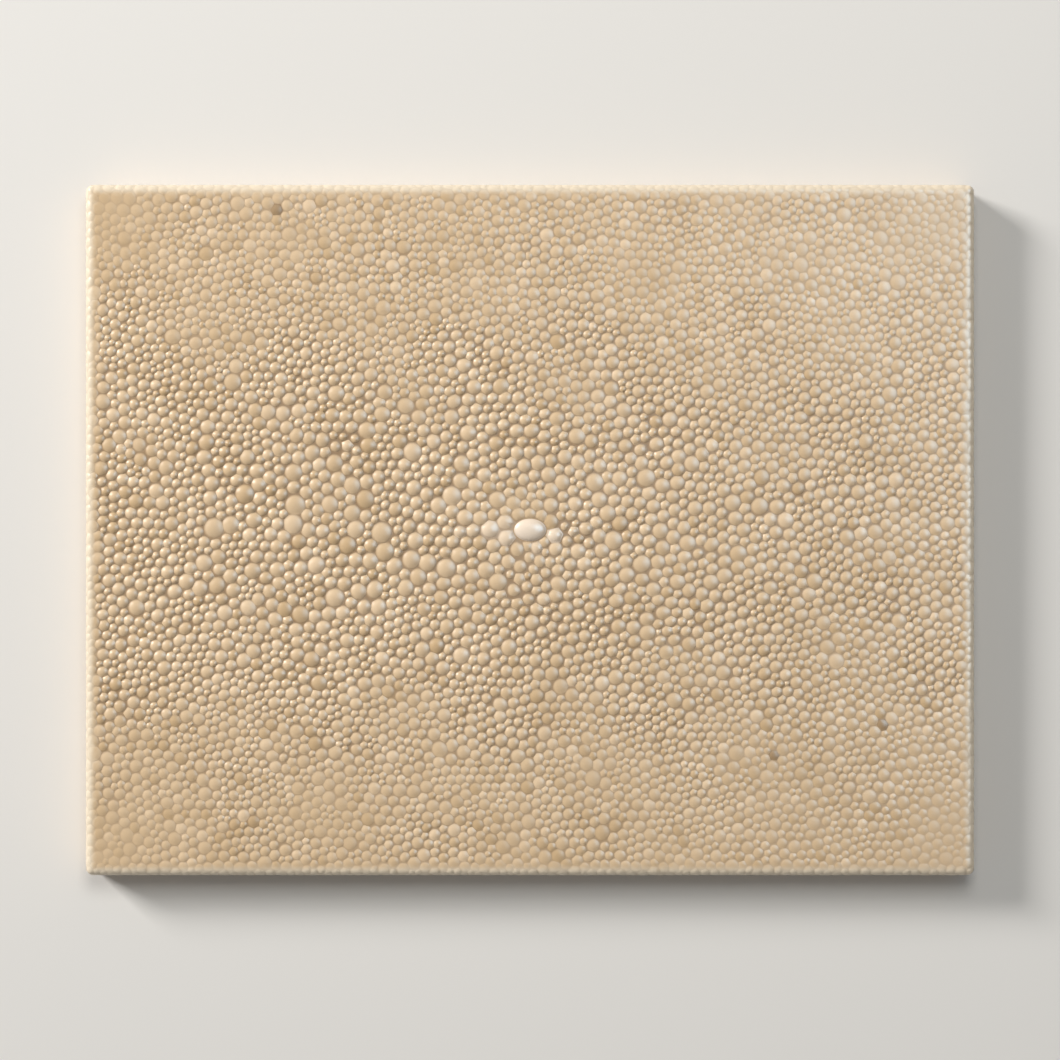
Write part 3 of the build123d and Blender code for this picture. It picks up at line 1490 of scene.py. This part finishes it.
    def _roughness(self, wiring: Wiring, place: Socket, groove: Socket, ivory: Socket) -> Socket:
        """Lacquer wears to a satin on the bead tops and stays dull in the grooves.

        Args:
            wiring: The material's wiring.
            place: Place on the object.
            groove: 0 on a bead's top, 1 in the groove round it.
            ivory: Whiteness of a pearl.

        Returns:
            The roughness.
        """
        cloud = wiring.noise(place, self.gloss_scale, 2.0)
        satin = wiring.ramp(cloud, 0.3, 0.7, *self.satin)
        dull = wiring.math("ADD", satin, wiring.math("MULTIPLY", groove, self.groove_dulling))
        return wiring.math("SUBTRACT", dull, wiring.math("MULTIPLY", ivory, self.pearl_polish))

    def _normal(self, wiring: Wiring, place: Socket, off_top: Socket, relief: Socket) -> Socket:
        """Round off the beads and pit their lacquer.

        Args:
            wiring: The material's wiring.
            place: Place on the object.
            off_top: Distance from the bead's middle, 1 at its rim.
            relief: Height of the beads, 1 over the spine.

        Returns:
            The normal.
        """
        share = wiring.math("MINIMUM", off_top, 1.0)
        fallen = wiring.math("POWER", share, self.profile.crown_power)
        crown = wiring.math("POWER", wiring.math("SUBTRACT", 1.0, fallen), self.profile.shoulder_power)
        domes = wiring.node("ShaderNodeBump")
        domes.inputs["Strength"].default_value = 1.0
        domes.inputs["Distance"].default_value = self.bead_bump
        wiring.feed(domes.inputs["Height"], wiring.math("MULTIPLY", crown, relief))
        pits = wiring.node("ShaderNodeBump")
        pits.inputs["Strength"].default_value = self.pit_strength
        pits.inputs["Distance"].default_value = self.pit_bump
        wiring.feed(pits.inputs["Height"], wiring.noise(place, self.pit_scale, 2.0))
        wiring.feed(pits.inputs["Normal"], domes.outputs["Normal"])
        return pits.outputs["Normal"]


@dataclass(frozen=True)
class BoardFinish:
    """Raw fibreboard: brown, finely fibrous and flecked."""

    fibre: tuple = linear(176, 142, 104)
    pale_fibre: tuple = linear(200, 168, 128)
    dark_fleck: tuple = linear(112, 84, 58)
    bump_height: float = 0.05 * MM
    bump_strength: float = 0.6
    cloud_scale: float = 60.0
    cloud_contrast: float = 2.0
    fuzz_scale: float = 900.0
    fuzz_contrast: float = 2.4
    fuzz_ramp: tuple[float, float] = (0.2, 0.9)
    fuzz_share: float = 0.45
    fleck_scale: float = 420.0
    fleck_radius: float = 0.3
    fleck_sparseness: float = 0.9
    fleck_share: float = 0.6
    dullness: tuple[float, float] = (0.72, 0.84)

    def material(self, effects: SharedEffects) -> bpy.types.Material:
        """Make the material.

        Args:
            effects: The node groups that finishes share.

        Returns:
            The material.
        """
        material = bpy.data.materials.new("fibreboard_finish")
        material.use_nodes = True
        wiring = Wiring(material.node_tree)
        place = wiring.place()
        cloud = effects.use(
            wiring, effects.mottle, place, scale=self.cloud_scale, contrast=self.cloud_contrast
        )
        fuzz = effects.use(
            wiring, effects.mottle, place, scale=self.fuzz_scale, contrast=self.fuzz_contrast
        )
        flecks = effects.use(
            wiring,
            effects.specks,
            place,
            scale=self.fleck_scale,
            radius=self.fleck_radius,
            sparseness=self.fleck_sparseness,
        )
        colour = wiring.blend(cloud, self.fibre, self.pale_fibre)
        dusty = wiring.ramp(fuzz, *self.fuzz_ramp, 0.0, self.fuzz_share)
        colour = wiring.blend(dusty, colour, self.dark_fleck)
        colour = wiring.blend(wiring.math("MULTIPLY", flecks, self.fleck_share), colour, self.dark_fleck)
        bump = wiring.node("ShaderNodeBump")
        bump.inputs["Strength"].default_value = self.bump_strength
        bump.inputs["Distance"].default_value = self.bump_height
        wiring.feed(bump.inputs["Height"], fuzz)
        shader = wiring.node("ShaderNodeBsdfPrincipled")
        wiring.feed(shader.inputs["Base Color"], colour)
        wiring.feed(shader.inputs["Roughness"], wiring.ramp(cloud, 0.0, 1.0, *self.dullness))
        wiring.feed(shader.inputs["Normal"], bump.outputs["Normal"])
        leave = wiring.node("ShaderNodeOutputMaterial")
        wiring.feed(leave.inputs["Surface"], shader.outputs[0])
        return material


@dataclass
class Panel:
    """The wall panel: the hide over its board."""

    section: HideSection
    grain: Grain = Grain()
    pearl: MiddlePearl = MiddlePearl()
    side_pearls: tuple[SidePearl, ...] = (
        SidePearl(6.5, -1.5, 4.0, 0.36, 0.75),
        SidePearl(10.8, -0.4, 3.5, 0.2, 0.25),
        SidePearl(14.6, 0.3, 3.3, 0.14, 0.18),
        SidePearl(-5.9, -2.2, 3.5, 0.26, 0.5),
        SidePearl(-6.6, 1.9, 3.8, 0.12, 0.3),
        SidePearl(-10.4, 0.0, 4.1, 0.26, 0.45),
        SidePearl(-14.5, -0.3, 3.5, 0.14, 0.2),
        SidePearl(-18.0, -0.5, 3.4, 0.14, 0.28),
        SidePearl(1.9, -4.6, 3.2, 0.1, 0.3),
    )
    dark_beads: tuple[tuple[float, float], ...] = ((-64.5, 81.5), (64.0, -57.5), (91.0, -50.5))

    def build(self) -> bpy.types.Object:
        """Make the hide and return it.

        Returns:
            The finished hide.
        """
        layout = BeadLayout(self.section, self.grain, self.pearl, self.side_pearls)
        layout.build()
        return BeadedHide(self.section, layout, self.grain, self.dark_beads).build()

    def dress(self, hide: bpy.types.Object, effects: SharedEffects) -> None:
        """Give the hide and the board their finishes and places.

        Args:
            hide: The finished hide.
            effects: The node groups that finishes share.
        """
        hide.data.materials.append(ShagreenFinish().material(effects))
        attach(hide, BODY)
        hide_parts(HIDE_NODE)
        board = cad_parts[BOARD_NODE]
        board.data.materials.clear()
        board.data.materials.append(BoardFinish().material(effects))
        LOG.info("backing board: fibreboard finish")


@dataclass(frozen=True)
class SoftLamp:
    """A square soft lamp: its place and side in metres, its power in watts and its tint."""

    kind: Lamp
    place: tuple[float, float, float]
    size: float
    power: float
    tint: Colour

    def hang(self) -> None:
        """Hang the lamp so that it looks at the panel.

        The fill makes no highlights, and the window makes nothing else.
        """
        data = bpy.data.lights.new(self.kind.value, "AREA")
        data.shape = "SQUARE"
        data.size = self.size
        data.energy = self.power
        data.color = self.tint
        holder = bpy.data.objects.new(self.kind.value, data)
        holder.location = self.place
        holder.visible_glossy = self.kind is not Lamp.FILL
        holder.visible_diffuse = self.kind is not Lamp.WINDOW
        holder.rotation_euler = (-Vector(self.place)).to_track_quat("-Z", "Y").to_euler()
        bpy.context.scene.collection.objects.link(holder)


@dataclass
class Studio:
    """Pale floor, soft lamps and the camera that looks straight down on the panel."""

    section: HideSection
    floor_half: float = 4.0
    floor_tone: tuple = linear(226, 224, 220)
    floor_roughness: float = 0.9
    lamps: tuple[SoftLamp, ...] = (
        SoftLamp(Lamp.KEY, (-1.62, 1.0, 0.92), 0.6, 47.0, (1.0, 0.98, 0.96)),
        SoftLamp(Lamp.FILL, (0.05, 0.4, 0.9), 0.4, 3.2, (0.98, 0.97, 0.94)),
        SoftLamp(Lamp.WINDOW, (0.58, 0.26, 0.95), 0.7, 14.0, (0.55, 0.8, 1.0)),
    )
    sky_tint: tuple[float, float, float, float] = (1.0, 0.99, 0.97, 1.0)
    sky_strength: float = 0.22
    camera_height: float = 0.73
    sensor: float = 36.0
    fill_of_frame: float = 0.84

    def build(self) -> None:
        """Set the stage, the lamps, the sky and the camera."""
        self._floor()
        for lamp in self.lamps:
            lamp.hang()
        self._sky()
        self._camera()

    def _floor(self) -> None:
        """Lay the floor under the panel."""
        bpy.ops.object.select_all(action="DESELECT")
        bpy.ops.mesh.primitive_plane_add(size=2 * self.floor_half, location=(0.0, 0.0, 0.0))
        floor = bpy.context.active_object
        floor.name = "studio_floor"
        material = bpy.data.materials.new("studio_floor_finish")
        material.use_nodes = True
        shader = material.node_tree.nodes["Principled BSDF"]
        shader.inputs["Base Color"].default_value = self.floor_tone
        shader.inputs["Roughness"].default_value = self.floor_roughness
        floor.data.materials.append(material)

    def _sky(self) -> None:
        """Fill the room with even light."""
        world = bpy.data.worlds.new("studio_sky")
        world.use_nodes = True
        background = world.node_tree.nodes["Background"]
        background.inputs["Color"].default_value = self.sky_tint
        background.inputs["Strength"].default_value = self.sky_strength
        bpy.context.scene.world = world

    def _camera(self) -> None:
        """Stand the camera over the middle of the face."""
        data = bpy.data.cameras.new("main_camera")
        data.sensor_width = self.sensor
        span = 2 * self.section.half_length * MM / self.fill_of_frame
        data.lens = self.sensor * self.camera_height / span
        camera = bpy.data.objects.new("main_camera", data)
        camera.location = (0.0, 0.0, self.section.face_z * MM + self.camera_height)
        bpy.context.scene.collection.objects.link(camera)
        bpy.context.scene.camera = camera
        bpy.context.scene.view_settings.view_transform = "Standard"


def main() -> None:
    """Build the panel, dress it and light it."""
    logging.basicConfig(level=logging.INFO, format="%(name)s: %(message)s")
    section = HideSection.from_frame()
    panel = Panel(section)
    hide = panel.build()
    panel.dress(hide, SharedEffects())
    Studio(section).build()


if __name__ == "__main__":
    main()
